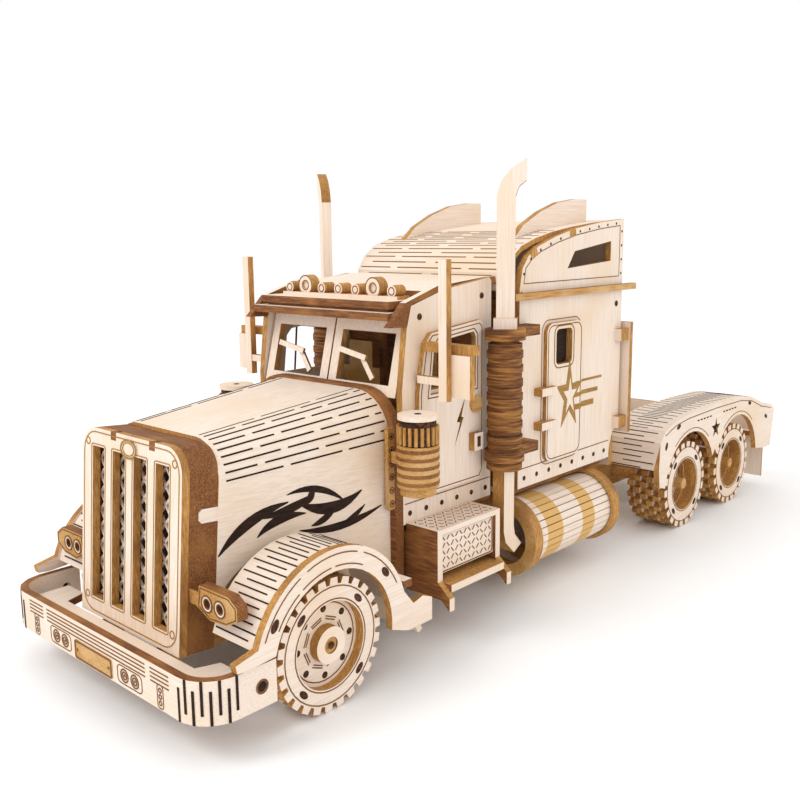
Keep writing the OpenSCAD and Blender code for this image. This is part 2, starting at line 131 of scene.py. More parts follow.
# %% The finishes
FACE = [(0.3, "#E3CDB8"), (0.5, "#ECDAC9"), (0.7, "#F2E3D5")]
GOLD = [(0.3, "#9A6A32"), (0.5, "#BA8746"), (0.7, "#D2A566")]
BROWN = [(0.3, "#5A3419"), (0.5, "#7C4D29"), (0.7, "#A06B39")]
CHAR = [(0.3, "#1E1009"), (0.5, "#3F2312"), (0.7, "#774820")]
face_y = wood("basswood_face_lengthwise", FACE, "Y", 0.5, 14, 0.62, 0.2, "#E5C9A6")
face_z = wood("basswood_face_upright", FACE, "Z", 0.5, 14, 0.62, 0.2, "#E5C9A6")
face_x = wood("basswood_face_crosswise", FACE, "X", 0.5, 14, 0.62, 0.2, "#E5C9A6")
slatted = wood("basswood_slats_banded", FACE, "Y", 0.5, 14, 0.62, 0.2,
    bands=[(95, 4.2, "#D9AE6A"), (114, 3.6, "#D9AE6A")])
# honey is golden toasted ply on lamps, plate and dowels, and painted shade where it covers the seats and dashboard.
honey = wood("basswood_toasted_and_interior_shade", GOLD, "Y", 0.5, 9, 0.66, 0.3, "#DDBA85", 14)
edge = wood("laser_edge_golden", GOLD, "Z", 0.45, 2.4, 0.7, 0.4, "#7A4C25", 11)
# brown is the laser edge's own colour, and painted shade where it covers the cab's inner walls.
brown = wood("laser_edge_brown_and_interior_shade", BROWN, "X", 0.4, 5, 0.72, 0.4, "#A8743D", 12)
stack = wood("laser_edge_stacked", [(0.34, "#4C2C16"), (0.5, "#7E5029"), (0.66, "#B07C3E")], "XY", 0.7, 9, 0.75, 0.4)
scorch = wood("laser_edge_scorched", CHAR, "X", 0.8, 5, 0.8, 0.6)
engraved = wood("engraved_line_brown", [(0.3, "#5D3A1D"), (0.7, "#8F6234")], "Y", 0.6, 4, 0.8, 0.3)
kerf = wood("kerf_shadow_char", [(0.3, "#150C08"), (0.7, "#3A2315")], "Y", 0.6, 4, 0.9, 0.2)
gilt = wood("engraved_line_golden", [(0.3, "#8F6A34"), (0.7, "#B08845")], "Y", 0.6, 4, 0.75, 0.3)
print(len(bpy.data.materials), "materials")

# %% [markdown]
# ## Faces and edges of the CAD sheets
# A sheet has two broad faces and a scorched rim. The face normals tell them apart, so one rule per
# sheet names the axis it was cut across, and the mesh itself stays as it came.


# %% Sort each sheet's faces
def dress(node, *rules):
    """rules are (material, test) in order; test takes a face's normal and its centre in millimetres."""
    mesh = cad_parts[node].data
    mesh.materials.clear()
    for material, _ in rules:
        mesh.materials.append(material)
    for face in mesh.polygons:
        x, y, z = face.center
        spot = (x / MM, (y - AXLE_Y) / MM, z / MM)
        for index, (_, test) in enumerate(rules):
            if test is None or test(face.normal, spot):
                face.material_index = index
                break


def across(axis, share=0.9):
    """True for faces that look along the axis."""
    return lambda normal, spot: abs(normal["XYZ".index(axis)]) > share


def sheet(nodes, axis, face, rim):
    for node in nodes.split():
        dress(node, (face, across(axis)), (rim, None))


sheet("left_cab_side right_cab_side left_sleeper_side right_sleeper_side left_door right_door left_hatch right_hatch",
    "X", face_z, edge)
sheet("roof_fins", "X", face_y, edge)
for node in ("left_step_box", "right_step_box"):
    dress(node, (face_y, lambda n, p: abs(n[0]) > 0.9 or n[2] > 0.9 and p[2] > 31), (brown, across("Y")),
        (edge, None))
# The seats and dashboard take the toasted gold as painted shade inside the cab.
sheet("seats", "Y", honey, brown)
sheet("left_chassis_rail right_chassis_rail roof_ledges dashboard", "X", honey, brown)
sheet("grille_plate windshield_frames sleeper_rear_wall wipers", "Y", face_z, edge)
dress("mirrors", (face_z, lambda n, p: abs(n[1]) > 0.9 and p[2] < 77.5), (edge, None))
sheet("exhaust_elbows", "X", face_z, edge)
sheet("rear_lamp_board rear_fairings mud_flaps antennas", "Y", face_z, edge)
sheet("left_headlamp right_headlamp", "Y", honey, brown)
sheet("bumper_shelf floor_board cab_roof fifth_wheel", "Z", face_y, brown)
sheet("front_tyres front_hubs rear_wheels_a rear_wheels_b", "X", face_y, edge)
dress("sun_visor", (face_x, lambda n, p: n[2] > 0.9), (brown, None))
# These parts are brown all over. On the firewall frame, sleeper front wall and cab rear wall that brown is painted
# shade inside the cab.
for node in ("radiator_surround", "firewall_frame", "sleeper_front_wall", "cab_rear_wall",
    "chassis_cross_members"):
    dress(node, (brown, None))
dress("fender_brackets", (face_y, across("Z")), (brown, None))
# The grille screen is near-black all over: painted shade behind the grille slots.
dress("grille_screen", (kerf, None))
dress("mufflers", (stack, None))
dress("roof_lamps", (face_z, lambda n, p: n[1] < -0.9), (edge, None))
dress("air_cleaners", (face_y, lambda n, p: n[2] > 0.9 and p[2] > 62), (honey, lambda n, p: p[2] < 56.5),
    (scorch, None))
dress("exhaust_stacks", (face_z, lambda n, p: abs(n[0] * 0.545 + n[1] * 0.839) > 0.9 or
    abs(-n[0] * 0.545 + n[1] * 0.839) > 0.9), (edge, None))
dress("fuel_tank_slats", (slatted, None))
dress("fuel_tank_rings", (honey, across("Y")), (edge, None))
dress("bumper_face", (brown, across("Z")), (face_x, None))
dress("sleeper_roof", (edge, across("X")), (face_x, None))
dress("hood_shell", (edge, lambda n, p: abs(n[1]) > 0.9 or p[2] < 17 or
    abs(n[0]) < 0.3 and math.hypot(p[1], p[2] - WHEEL_Z) < 19.6), (face_y, None))
for node in ("left_front_fender", "right_front_fender", "left_rear_fender", "right_rear_fender"):
    dress(node, (face_x, lambda n, p: abs(p[0]) < 42 and abs(n[0]) < 0.9), (face_y, across("X")), (edge, None))
for node in ("front_axle_dowel", "rear_axle_dowels_a", "rear_axle_dowels_b"):
    dress(node, (honey, None))
print("sheets sorted into faces and rims")

# %% [markdown]
# ## Laser work
# Kerfs, engraved borders, bolts and tenons are all thin bars, discs, rings and flat cut-outs that lie a
# few hundredths of a millimetre proud of the sheet. Each helper starts from a bmesh.ops shape.


# %% Bar, disc, ring and cut-out
SKIN = 0.12


def bar(bm, a, b, up, wide, deep=SKIN):
    """A straight bar from a to b; up is the way its deep side points."""
    a, b, up = at(*a), at(*b), Vector(up)
    along = (b - a).normalized()
    side = along.cross(up).normalized()
    up = side.cross(along)
    axes = Matrix((side * wide * MM, along * (b - a).length, up * deep * MM)).transposed().to_4x4()
    axes.translation = (a + b) / 2
    bmesh.ops.create_cube(bm, size=1, matrix=axes)


def track(bm, points, up, wide, deep=SKIN, closed=False):
    """Bars end to end through the points."""
    for a, b in zip(points, points[1:] + (points[:1] if closed else [])):
        bar(bm, a, b, up, wide, deep)


def turned(axis):
    return Vector(axis).to_track_quat("Z", "Y").to_matrix().to_4x4()


def disc(bm, centre, axis, radius, deep=SKIN, steps=16):
    """A flat round or a short cylinder about centre."""
    bmesh.ops.create_cone(bm, cap_ends=True, segments=steps, radius1=radius * MM, radius2=radius * MM,
        depth=deep * MM, matrix=Matrix.Translation(at(*centre)) @ turned(axis))


def ring(bm, centre, axis, radius, wide, deep=SKIN, steps=24):
    """A small square section spun right round the axis."""
    middle, frame_axes = at(*centre), turned(axis).to_3x3()
    corners = [(-1, -1), (1, -1), (1, 1), (-1, 1)]
    section = [bm.verts.new(middle + frame_axes @ Vector(((radius + i * wide / 2) * MM, 0, j * deep / 2 * MM)))
        for i, j in corners]
    sides = [bm.edges.new((section[k], section[(k + 1) % 4])) for k in range(4)]
    bmesh.ops.spin(bm, geom=section + sides, cent=middle, axis=Vector(axis).normalized(),
        angle=2 * math.pi, steps=steps, use_merge=True)


def cutout(bm, points, normal, deep=SKIN):
    """A flat shape with the given outline, deep millimetres thick."""
    shift = Vector(normal).normalized() * deep * MM / 2
    face = bm.faces.new([bm.verts.new(at(*p) - shift) for p in points])
    lid = bmesh.ops.extrude_face_region(bm, geom=[face])["geom"]
    bmesh.ops.translate(bm, verts=[v for v in lid if isinstance(v, bmesh.types.BMVert)], vec=shift * 2)


def piece(name, material, build, body="truck"):
    """Runs build on a fresh bmesh and hangs the result on a body."""
    bm = bmesh.new()
    build(bm)
    bmesh.ops.recalc_face_normals(bm, faces=bm.faces)
    mesh = bpy.data.meshes.new(name)
    bm.to_mesh(mesh)
    bm.free()
    made = bpy.data.objects.new(name, mesh)
    bpy.context.scene.collection.objects.link(made)
    mesh.materials.append(material)
    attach(made, body)
    return made


def both(build):
    """build(bm, s) run for the left side, s = 1, and for the right side, s = -1."""
    return lambda bm: [build(bm, s) for s in (1, -1)]


# %% [markdown]
# ## Hood
# The hood is one sheet bent over both shoulders. Rows of broken cuts let it bend. A point on it is
# found from how far back it lies and how far round the shoulder it is.

# %% Hood surface, kerfs and flame
HOOD = dict(front=(-18.0, 21.4, 46.6, 9.0), rear=(36.0, 27.0, 52.0, 12.0), foot=15.9)


def hood_point(y, turn, s=1, proud=0.02):
    """A point on the hood skin; turn is 0 on the flat side and 90 on top."""
    (y0, w0, h0, r0), (y1, w1, h1, r1) = HOOD["front"], HOOD["rear"]
    t = (y - y0) / (y1 - y0)
    w, h, r = (p + (q - p) * t for p, q in ((w0, w1), (h0, h1), (r0, r1)))
    a = math.radians(turn)
    return (s * (w - r + (r + proud) * math.cos(a)), y, HOOD["foot"] + h - r + (r + proud) * math.sin(a))


def hood_side(y, z, s=1, proud=0.03):
    t = (y - HOOD["front"][0]) / (HOOD["rear"][0] - HOOD["front"][0])
    return (s * (HOOD["front"][1] + (HOOD["rear"][1] - HOOD["front"][1]) * t + proud), y, z)


def hood_kerfs(bm, s):
    for row in range(9):
        turn = row * 11.5
        up = (s * math.cos(math.radians(turn)), 0, math.sin(math.radians(turn)))
        y = -12.5 - (row % 2) * 7
        while y < 35:
            y0, y1 = max(y, -12.5), min(y + 15.5, 35.4)
            if y1 - y0 > 1.5:
                bar(bm, hood_point(y0, turn, s), hood_point(y1, turn, s), up, 0.42)
            y += 17.6


def blade(points, width, steps=10):
    """Outline of a blade in (y, z), pointed at both ends, along a quadratic curve."""
    (a, b, c), left, right = [Vector(p) for p in points], [], []
    for i in range(steps + 1):
        t = i / steps
        p = a * (1 - t) ** 2 + b * 2 * t * (1 - t) + c * t * t
        d = ((b - a) * (1 - t) + (c - b) * t).normalized()
        w = width / 2 * math.sin(math.pi * min(max(t, 0.02), 0.98)) ** 0.8
        left.append(p + Vector((-d.y, d.x)) * w)
        right.append(p - Vector((-d.y, d.x)) * w)
    return left + right[::-1]


FLAME = [([(-15.5, 36.5), (-8, 44.5), (4, 45.4)], 2.7), ([(-5, 38.6), (0, 43), (9, 41.6)], 2.3),
    ([(-4, 43), (6, 43), (11.5, 46)], 2.3), ([(7, 44.4), (17, 38.4), (26.5, 44)], 3.1),
    ([(3.6, 47.2), (13, 49.2), (21, 42.2)], 1.7), ([(9, 43.8), (11, 45), (11.4, 48)], 2.0),
    ([(10.6, 38), (14.6, 38.2), (18.6, 41.4)], 1.8), ([(7, 37.6), (19, 34), (33, 38.6)], 2.1),
    ([(19, 36), (23.5, 36.8), (27.5, 40)], 1.5)]


def flame(bm, s):
    for n, (spine, width) in enumerate(FLAME):
        outline = [hood_side(p.x, p.y, s, 0.03 + 0.004 * n) for p in blade(spine, width)]
        cutout(bm, outline, (s, -0.1, 0))


piece("hood_kerfs", kerf, both(hood_kerfs))
piece("hood_flame", kerf, both(flame))


STRIP_Y, STRIP_BOLTS = 34.9, [38.9 + k * 3.6 for k in range(6)]


def bolt_strip(bm, s):
    bar(bm, (s * 28.2, STRIP_Y, 37.3), (s * 28.2, STRIP_Y, 59), (s, 0, 0), 2.6, 1.2)


def strip_bolts(bm, s):
    for z in STRIP_BOLTS:
        ring(bm, (s * 28.84, STRIP_Y, z), (s, 0, 0), 0.8, 0.34)


def strip_holes(bm, s):
    for z in STRIP_BOLTS:
        disc(bm, (s * 28.86, STRIP_Y, z), (s, 0, 0), 0.32)


piece("hood_bolt_strip", honey, both(bolt_strip))
piece("hood_strip_bolt_rings", engraved, both(strip_bolts))
piece("hood_strip_bolt_holes", kerf, both(strip_holes))

# %% [markdown]
# ## Grille
# The grille leans back a few degrees, so its details are placed in its own plane: x across, z up the
# sheet, and a depth in from its face.

# %% Grille lattice, borders and badge
LEAN = math.radians(4.6)
GRILLE_FOOT, GRILLE_H, GRILLE_X = (-27.0, 16.0), 47.0, 21.4
GRILLE_N = (0, -math.cos(LEAN), math.sin(LEAN))
BAR_STEP, SLOT_W = 9.2, 5.4


def leaned(x, z, depth=-0.04):
    c, s = math.cos(LEAN), math.sin(LEAN)
    return (x, GRILLE_FOOT[0] + depth * c + z * s, GRILLE_FOOT[1] + z * c - depth * s)


def rounded(w, h, r, x0=0.0, z0=0.0, steps=5):
    """A rounded rectangle's outline about (x0, z0)."""
    points = []
    for k, (i, j) in enumerate(((1, 1), (-1, 1), (-1, -1), (1, -1))):
        for n in range(steps + 1):
            a = math.radians(90 * k + 90 * n / steps)
            points.append((x0 + i * (w / 2 - r) + r * math.cos(a), z0 + j * (h / 2 - r) + r * math.sin(a)))
    return points


def badge_oval(half_w, half_h, z0=43.9):
    """The outline of the badge, or of a line round it."""
    return [(half_w * math.cos(a * math.pi / 16), z0 + half_h * math.sin(a * math.pi / 16)) for a in range(32)]


def lattice(bm):
    """Two crossing sets of thin laths in the screen behind the slots."""
    half, low_z, high_z, pitch, depth = 18.2, 3.2, 42.8, 4.4, 2.9
    for lean_way in (1, -1):
        n = -int((2 * half) / pitch)
        while n * pitch < high_z - low_z:
            z0 = low_z + n * pitch
            t0 = max(0.0, low_z - z0)
            t1 = min(2 * half, high_z - z0)
            if t1 - t0 > 0.5:
                ends = [leaned(lean_way * (-half + t), z0 + t, depth) for t in (t0, t1)]
                bar(bm, *ends, GRILLE_N, 0.62, 0.5)
            n += 1


def grille_lines(bm):
    track(bm, [leaned(x, z) for x, z in rounded(2 * GRILLE_X - 2, GRILLE_H - 2, 5, 0, GRILLE_H / 2)],
        GRILLE_N, 0.28, closed=True)
    for i in range(4):
        track(bm, [leaned(x, z) for x, z in rounded(SLOT_W + 1, 39, 0.6, (i - 1.5) * BAR_STEP, 23.5, 2)],
            GRILLE_N, 0.25, closed=True)
    for x in (-18.6, 18.6):
        for z in (4.6, 43.4):
            ring(bm, leaned(x, z), GRILLE_N, 0.85, 0.3)
    for r, w in ((2.6, 0.45), (1.9, 0.25)):
        track(bm, [leaned(x, z, -0.32) for x, z in badge_oval(1.25 * r, 0.8 * r)], GRILLE_N, w, closed=True)


def badge(bm):
    cutout(bm, [leaned(x, z, -0.12) for x, z in badge_oval(3.3, 2.15)], GRILLE_N, 0.24)


def grille_tabs(bm):
    shape = ((-1.2, -1), (1.2, -1), (1.2, 0.9), (-1.2, 0.9))
    for x in (-7, 9.5):
        cutout(bm, [leaned(x + i, GRILLE_H - 1 + j, 0.9) for i, j in shape], GRILLE_N, 1.6)


def surround_tabs(bm, s):
    for z in (12, 31.5):
        points = [(s * (GRILLE_X + 0.15),) + leaned(0, z + h, d)[1:] for d, h in
            ((5.2, -1.6), (9.8, -1.6), (9.8, 1.6), (5.2, 1.6), (4.4, 0.9), (4.4, -0.9))]
        cutout(bm, points, (s, 0, 0), 0.3)


piece("grille_lattice", face_z, lattice)
piece("grille_borders", gilt, grille_lines)
piece("grille_badge", face_z, badge)
piece("grille_tabs", brown, grille_tabs)
piece("surround_tabs", face_y, both(surround_tabs))

# %% [markdown]
# ## Bumper and lamps
# The bumper's corners bend on slits cut in turn from the top and from the bottom. Its face carries
# engraved louvres, lamp rings and a blank number plate.

# %% Bumper details
NOSE_Y, CORNER, CORNER_R = -36.0, (34.0, -27.0), 9.0
BUMP_LOW, BUMP_HIGH = 9.6, 19.4
FRONT = (0, -1, 0)


def bumper_slits(bm, s):
    for k in range(8):
        a = math.radians(-3 - k * 12)
        n = (s * math.cos(a), math.sin(a), 0)
        x, y = CORNER[0] + (CORNER_R + 0.03) * math.cos(a), CORNER[1] + (CORNER_R + 0.03) * math.sin(a)
        z0, z1 = (BUMP_LOW, BUMP_HIGH - 2.2) if k % 2 else (BUMP_LOW + 2.2, BUMP_HIGH)
        bar(bm, (s * x, y, z0), (s * x, y, z1), n, 0.62)


def bumper_louvres(bm):
    for x0, x1 in ((-31, -24), (-22, 22), (24, 31)):
        for k in range(4):
            z = 18.2 - k * 0.95
            bar(bm, (x0, NOSE_Y - 0.03, z), (x1, NOSE_Y - 0.03, z), FRONT, 0.3)


def bumper_lamps(bm, s):
    for x in (13.4, 17.6):
        for r in (1.5, 0.85):
            ring(bm, (s * x, NOSE_Y - 0.05, 12.6), FRONT, r, 0.36)
        disc(bm, (s * x, NOSE_Y - 0.05, 12.6), FRONT, 0.35)
    for k in range(3):
        ring(bm, (s * 27.6, NOSE_Y - 0.05, 11.2 + k * 1.45), FRONT, 0.5, 0.28, steps=12)
    track(bm, [(s * x, NOSE_Y - 0.04, z) for x, z in rounded(10, 4.2, 1.2, 15.5, 12.6)], FRONT, 0.22, closed=True)
    track(bm, [(s * x, NOSE_Y - 0.04, z) for x, z in rounded(2.2, 5.4, 0.8, 27.6, 12.7)], FRONT, 0.22, closed=True)


def number_plate(bm):
    cutout(bm, [(x, NOSE_Y - 0.1, z) for x, z in rounded(16.5, 4.6, 0.4, 0, 12.4)], FRONT, 0.3)


def plate_frame(bm):
    track(bm, [(x, NOSE_Y - 0.3, z) for x, z in rounded(16.1, 4.2, 0.4, 0, 12.4)], FRONT, 0.4, closed=True)
    for x in (-7, 7):
        disc(bm, (x, NOSE_Y - 0.3, 12.4), FRONT, 0.35)


LAMPS_X, LAMP_Y, LAMP_Z = (28.2, 32.8), -23.62, 29.6


def headlamp_rings(bm, s):
    for x in LAMPS_X:
        ring(bm, (s * x, LAMP_Y - 0.03, LAMP_Z), FRONT, 1.85, 0.32, 0.3)
        ring(bm, (s * x, LAMP_Y, LAMP_Z), FRONT, 1.15, 0.3)
    shape = [(25, 28.3), (29.1, 26.5), (34.9, 26.9), (38.3, 28.7), (38.3, 31.1), (35.8, 32.7), (25.9, 32.7)]
    track(bm, [(s * x, LAMP_Y - 0.01, z) for x, z in shape], FRONT, 0.28, closed=True)


def headlamp_faces(bm, s):
    for x in LAMPS_X:
        ring(bm, (s * x, LAMP_Y, LAMP_Z), FRONT, 1.5, 0.5)


def end_bolts(bm, s):
    ring(bm, (s * 43.05, -21, 14.5), (s, 0, 0), 1.45, 0.45)


def end_bolt_holes(bm, s):
    disc(bm, (s * 43.0, -21, 14.5), (s, 0, 0), 1.15)


piece("bumper_corner_slits", kerf, both(bumper_slits))
piece("bumper_louvres", engraved, bumper_louvres)
piece("bumper_lamp_rings", engraved, both(bumper_lamps))
piece("number_plate", honey, number_plate)
piece("number_plate_frame", engraved, plate_frame)
piece("headlamp_rings", engraved, both(headlamp_rings))
piece("headlamp_faces", face_x, both(headlamp_faces))
piece("bumper_end_rings", engraved, both(end_bolts))
piece("bumper_end_holes", kerf, both(end_bolt_holes))

# %% [markdown]
# ## Fenders
# Each fender is a flat plate with a sheet bent over it. The bend's cuts run across the sheet, in turn
# from one side and the other, and a fine line follows the plate's rim.

# %% Fender kerfs, borders and tenons
FENDER_X, FRONT_R = 44.0, 23.0
MIDDLE_AXLE_Y, REAR_AXLE_Y = 179, 220
STAR_Y, STAR_Z = 199.5, 34
REAR_LINE = [(154.5, 36), (158, 39.6), (166, 42), (176, 43), (199, 43.4), (222, 43), (233, 41.4), (244, 37.5),
    (254, 35.5)]
REAR_TOP = [(154, 26.4)] + REAR_LINE[:-2]


def round_wheel(radius, angle, y=0.0):
    """The place (y, z) at that angle on a circle about a wheel's centre."""
    return y + radius * math.cos(angle), WHEEL_Z + radius * math.sin(angle)


def front_fender_kerfs(bm, s):
    for k in range(34):
        a = math.radians(160 - k * 4.3)
        y, z = round_wheel(FRONT_R + 0.03, a)
        x0, x1 = ((28.3, 39.6), (31.2, 41.9))[k % 2]
        bar(bm, (s * x0, y, z), (s * x1, y, z), (0, math.cos(a), math.sin(a)), 0.34)


def along_line(line, step):
    """Points and normals every step along a polyline of (y, z)."""
    rest, made = 0.0, []
    for (y0, z0), (y1, z1) in zip(line, line[1:]):
        length = math.hypot(y1 - y0, z1 - z0)
        d = ((y1 - y0) / length, (z1 - z0) / length)
        while rest < length:
            made.append(((y0 + d[0] * rest, z0 + d[1] * rest), (-d[1], d[0])))
            rest += step
        rest -= length
    return made


def rear_fender_kerfs(bm, s):
    for k, ((y, z), n) in enumerate(along_line(REAR_TOP, 1.9)):
        x0, x1 = ((24.6, 37), (30, 41.6))[k % 2]
        y, z = y + n[0] * 0.03, z + n[1] * 0.03
        bar(bm, (s * x0, y, z), (s * x1, y, z), (0,) + n, 0.32)


def plate_tenon(bm, s, y, z, turn, x=FENDER_X, long=2.2, wide=1.2):
    """A tenon's end that shows in an oval mortise."""
    a = math.radians(turn)
    oval = [(long * math.cos(t * math.pi / 8), wide * math.sin(t * math.pi / 8)) for t in range(16)]
    cutout(bm, [(s * (x + 0.04), y + u * math.cos(a) - v * math.sin(a), z + u * math.sin(a) + v * math.cos(a))
        for u, v in oval], (s, 0, 0))


def fender_tenons(bm, s):
    for a in (148, 40):
        plate_tenon(bm, s, *round_wheel(21, math.radians(a)), a + 90, long=1.6, wide=0.9)
    for y, z, turn in ((159, 34, 70), (168, 39.6, 20), (231, 39.2, -15), (249, 31, -30)):
        plate_tenon(bm, s, y, z, turn, long=1.5, wide=0.8)


def fender_borders(bm, s):
    x = s * (FENDER_X + 0.02)
    for radius, a0, a1 in ((22.2, 158, 20), (19.4, 150, 60)):
        for k in range(24):
            a, b = (math.radians(a0 + (a1 - a0) * (k + d) / 24) for d in (0, 0.999))
            if k % 8 != 7:
                bar(bm, (x,) + round_wheel(radius, a), (x,) + round_wheel(radius, b), (s, 0, 0), 0.3)
    inner = [(y, z - 1.6) for y, z in REAR_LINE[1:]]
    track(bm, [(x, y, z) for y, z in inner], (s, 0, 0), 0.3)
    for centre in (MIDDLE_AXLE_Y, REAR_AXLE_Y):
        track(bm, [(x,) + round_wheel(21.3, math.radians(a), centre) for a in range(48, 138, 10)], (s, 0, 0), 0.28)


def star(radius, waist, turn=0.0):
    return [((radius if k % 2 == 0 else waist) * math.sin(math.radians(36 * k + turn)),
        (radius if k % 2 == 0 else waist) * math.cos(math.radians(36 * k + turn))) for k in range(10)]


# A near-black star 1 mm inside the fender plate, seen through the star cut: painted shade of the hole.
def fender_star(bm, s):
    cutout(bm, [(s * (FENDER_X - 1), STAR_Y + u, STAR_Z + v) for u, v in star(4, 1.6)], (s, 0, 0), 0.6)


def fender_dashes(bm, s):
    x, z = s * (FENDER_X + 0.03), 39.4
    for k in range(5):
        for side in (-1, 1):
            y = STAR_Y + side * (6 + k * 2.6)
            bar(bm, (x, y, z), (x, y + 1.5, z), (s, 0, 0), 0.5)


piece("front_fender_kerfs", kerf, both(front_fender_kerfs))
piece("rear_fender_kerfs", kerf, both(rear_fender_kerfs))
piece("fender_tenons", scorch, both(fender_tenons))
piece("fender_borders", engraved, both(fender_borders))
piece("fender_star_backs", kerf, both(fender_star))
piece("fender_dashes", kerf, both(fender_dashes))

# %% [markdown]
# ## Cab and sleeper
# Doors, windows and lockers are outlined by engraved lines; bolts run along the sills and the roof wing.

# %% Cab details
CAB_X, DOOR_T, HATCH_T, SLEEPER_X = 29.0, 1.52, 1.32, 32.0


def cab_lines(bm, s):
    side = (s, 0, 0)
    x = CAB_X + 0.02
    track(bm, [(s * x, y, z) for y, z in ((39.6, 37.6), (76.6, 37.6))], side, 0.28)
    d = CAB_X + DOOR_T + 0.02
    track(bm, [(s * d, y, z) for y, z in ((44.8, 39.8), (44.8, 66.6), (47.3, 79.6), (49.4, 81.8), (69.6, 83.6),
        (70.7, 82.6), (70.7, 41.4), (69.6, 39.8))], side, 0.26, closed=True)
    track(bm, [(s * d, y, z) for y, z in ((47.5, 65.2), (49.2, 78.4), (51.6, 80.8), (67.3, 82.3), (68.8, 80.6),
        (68.8, 65.2))], side, 0.3, closed=True)
    bar(bm, (s * d, 54, 65.6), (s * d, 55.4, 80.6), side, 0.7)
    ring(bm, (s * (CAB_X + DOOR_T + 0.9), 67.6, 61), side, 1.9, 0.3, 0.3)


def cab_bolts(bm, s):
    for k in range(6):
        disc(bm, (s * (CAB_X + 0.03), 41.6 + k * 6.6, 34.8), (s, 0, 0), 0.75)
    for y, z in ((46, 87), (72.5, 91)):
        disc(bm, (s * (CAB_X + 0.03), y, z), (s, 0, 0), 0.9)
    cutout(bm, [(s * (CAB_X + 3.56), y, z) for y, z in ((66.3, 49), (67.7, 49), (67.7, 52), (66.3, 52))], (s, 0, 0))


# A near-black bolt on the cab side, inside the door's thickness and seen through the lightning cut: painted shade of
# the cut.
def lightning(bm, s):
    shape = [(58.5, 50), (62.6, 57.8), (61.6, 58.2), (63.5, 64), (59.6, 57), (61, 56.6)]
    cutout(bm, [(s * (CAB_X + 0.1), y, z) for y, z in shape], (s, 0, 0), 0.16)


def hinge_caps(bm, s):
    disc(bm, (s * (CAB_X + DOOR_T + 0.55), 67.6, 61), (s, 0, 0), 2.4, 1.1, 24)


piece("cab_borders", engraved, both(cab_lines))
piece("cab_bolts", scorch, both(cab_bolts))
piece("door_lightning", kerf, both(lightning))
piece("door_hinge_caps", honey, both(hinge_caps))


# %% Sleeper details
SLEEPER_TOP = [(86.7, 92), (88, 98), (91, 101.6), (96, 104.2), (105, 107), (116, 109.3), (131, 111.2), (146, 112.4)]
ROOF_LINE = [(81.6, 92), (82.6, 97), (85.5, 101.2), (90, 104.4), (97, 106.6), (106, 108.4), (116, 109.8),
    (131, 111.3)]


def sleeper_lines(bm, s):
    side, x, h = (s, 0, 0), SLEEPER_X + 0.02, SLEEPER_X + HATCH_T + 0.02
    bar(bm, (s * x, 87, 38), (s * x, 139.8, 38), side, 0.28)
    wing = [(88.7, 93.6), (89.6, 98), (92.4, 100.4), (97, 102.6), (106, 105.2), (117, 107.4), (131, 109.2),
        (143.6, 110.2), (143.6, 93.6)]
    track(bm, [(s * x, y, z) for y, z in wing], side, 0.26, closed=True)
    track(bm, [(s * h, y, z) for y, z in rounded(18.6, 41.6, 2.6, 109.5, 59.5)], side, 0.28, closed=True)
    track(bm, [(s * h, y, z) for y, z in rounded(11, 13, 2.4, 109, 73.5)], side, 0.34, closed=True)
    track(bm, [(s * x, y, z) for y, z in rounded(22, 45, 3.6, 109.5, 59.5)], side, 0.26, closed=True)


def sleeper_bolts(bm, s):
    for k in range(8):
        disc(bm, (s * (SLEEPER_X + 0.03), 90 + k * 6.7, 34.9), (s, 0, 0), 0.75)
    for (y, z), n in along_line([(y + 0.8, z - 1.1) for y, z in SLEEPER_TOP], 5.6):
        if y < 144:
            disc(bm, (s * (SLEEPER_X + 0.03), y, z), (s, 0, 0), 0.4)
    for k in range(4):
        disc(bm, (s * (SLEEPER_X + 0.03), 144.9, 94.5 + k * 4.6), (s, 0, 0), 0.4)
    disc(bm, (s * (SLEEPER_X + 0.03), 142.5, 84.5), (s, 0, 0), 1.0)


def wing_mortises(bm, s):
    for y, z, turn in ((93.6, 102.4, 27), (114.6, 108.2, 12)):
        a = math.radians(turn)
        box = [(u * math.cos(a) - v * math.sin(a), u * math.sin(a) + v * math.cos(a))
            for u, v in ((-1.7, -1.3), (1.7, -1.3), (1.7, 1.1), (-1.7, 1.1))]
        cutout(bm, [(s * (SLEEPER_X + 0.05), y + u, z + v) for u, v in box], (s, 0, 0), 0.16)


# A near-black sheet 1 mm inside each hatch window: painted shade of the sleeper's dark inside.
def hatch_window_shade(bm, s):
    cutout(bm, [(s * (SLEEPER_X - 1), y, z) for y, z in rounded(8.9, 10.9, 1.4, 109, 73.5)], (s, 0, 0), 0.4)


STAR_AT = (112.2, 57.5)


def star_and_stripes(bm, s):
    h = SLEEPER_X + HATCH_T + 0.05
    cutout(bm, [(s * h, STAR_AT[0] + 0.95 * u, STAR_AT[1] + 1.5 * v) for u, v in star(8, 3.1)], (s, 0, 0))
    for k in range(3):
        z, y1, wide = 61 - k * 3.9, 134 - k * 2.4, 0.8 + 0.5 * k
        bar(bm, (s * (h + 0.03), 116 - k * 1.3, z), (s * (h + 0.03), 119.3, z), (s, 0, 0), wide)
        bar(bm, (s * (SLEEPER_X + 0.05), 119.8, z), (s * (SLEEPER_X + 0.05), y1, z), (s, 0, 0), wide)


def star_core(bm, s):
    cutout(bm, [(s * (SLEEPER_X + HATCH_T + 0.14), STAR_AT[0] + 0.4 + 0.95 * u, STAR_AT[1] - 0.3 + 1.5 * v)
        for u, v in star(4.2, 1.6)], (s, 0, 0), 0.1)


